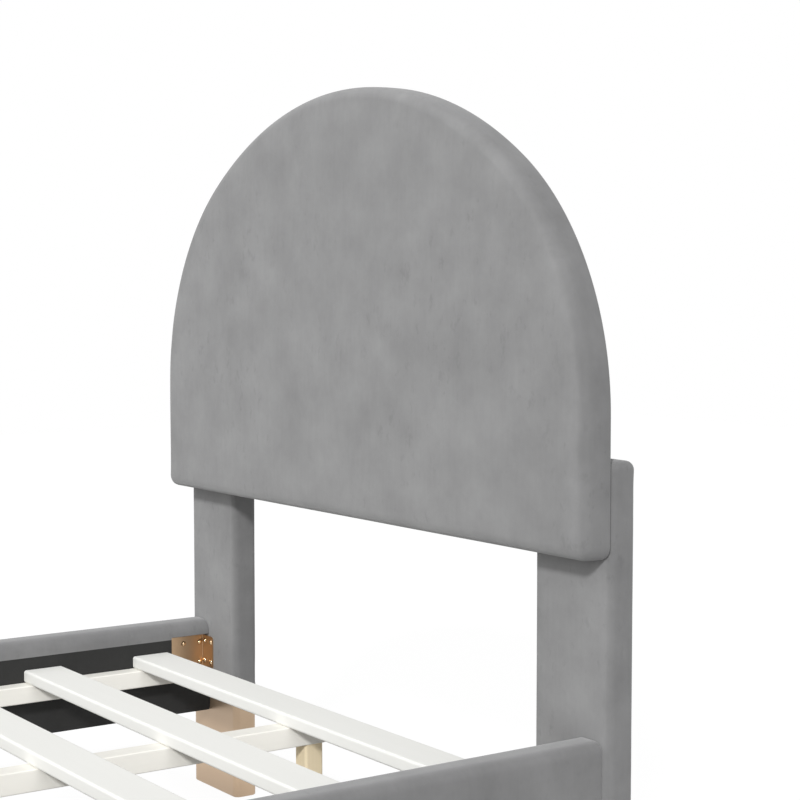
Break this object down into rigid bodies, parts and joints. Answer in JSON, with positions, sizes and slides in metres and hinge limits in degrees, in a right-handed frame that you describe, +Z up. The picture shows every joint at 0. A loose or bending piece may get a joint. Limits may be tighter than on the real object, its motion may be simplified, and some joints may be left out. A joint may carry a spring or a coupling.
{
  "type": "upholstered platform bed",
  "caption": "Velvet-covered platform bed frame with an arched padded headboard on posts, slatted base, centre beam and coated legs.",
  "frame": {"origin": "on the floor, at the middle of the bed's overall length and width", "axes": "+X across the bed, +Y towards the headboard, +Z up from the floor"},
  "size_m": [1.102, 2.017, 1.1564],
  "materials": {
    "velvet": "short pile velvet, grey",
    "foam": "upholstery foam",
    "lining": "black non-woven lining",
    "board": "plain board",
    "white_wood": "white lacquer",
    "cream_wood": "off-white primer",
    "natural_wood": "planed softwood",
    "leg_metal": "satin champagne coating",
    "bracket_metal": "bronze coating",
    "bolt_metal": "yellow zinc",
    "screw_metal": "zinc"
  },
  "bodies": {
    "root": {"headboard_cover": "velvet", "headboard_foam": "foam", "headboard_board": "board", "headboard_lining": "lining", "headboard_bolts": "screw_metal", "headboard_tee_nuts": "screw_metal", "post_core_left": "board", "post_core_right": "board", "post_foam_left": "foam", "post_foam_right": "foam", "post_cover_left": "velvet", "post_cover_right": "velvet", "head_leg_sleeve_left": "leg_metal", "head_leg_sleeve_right": "leg_metal", "side_rail_core_left": "board", "side_rail_core_right": "board", "side_rail_foam_left": "foam", "side_rail_foam_right": "foam", "side_rail_cover_left": "velvet", "side_rail_cover_right": "velvet", "side_rail_lining_left": "lining", "side_rail_lining_right": "lining", "ledger_left": "cream_wood", "ledger_right": "cream_wood", "ledger_screws": "screw_metal", "foot_board_core": "board", "foot_board_foam": "foam", "foot_board_cover": "velvet", "foot_board_lining": "lining", "foot_leg_block_left": "board", "foot_leg_block_right": "board", "foot_leg_sleeve_left": "leg_metal", "foot_leg_sleeve_right": "leg_metal", "foot_leg_dowels": "natural_wood", "head_bracket_left": "bracket_metal", "head_bracket_right": "bracket_metal", "foot_bracket_left": "bracket_metal", "foot_bracket_right": "bracket_metal", "bracket_bolts": "bolt_metal", "centre_beam": "cream_wood", "centre_leg_head": "natural_wood", "centre_leg_middle": "natural_wood", "centre_leg_foot": "natural_wood", "centre_leg_screws": "screw_metal", "slat_01": "white_wood", "slat_02": "white_wood", "slat_03": "white_wood", "slat_04": "white_wood", "slat_05": "white_wood", "slat_06": "white_wood", "slat_07": "white_wood", "slat_08": "white_wood", "slat_09": "white_wood", "slat_10": "white_wood"}
  },
  "joints": []
}
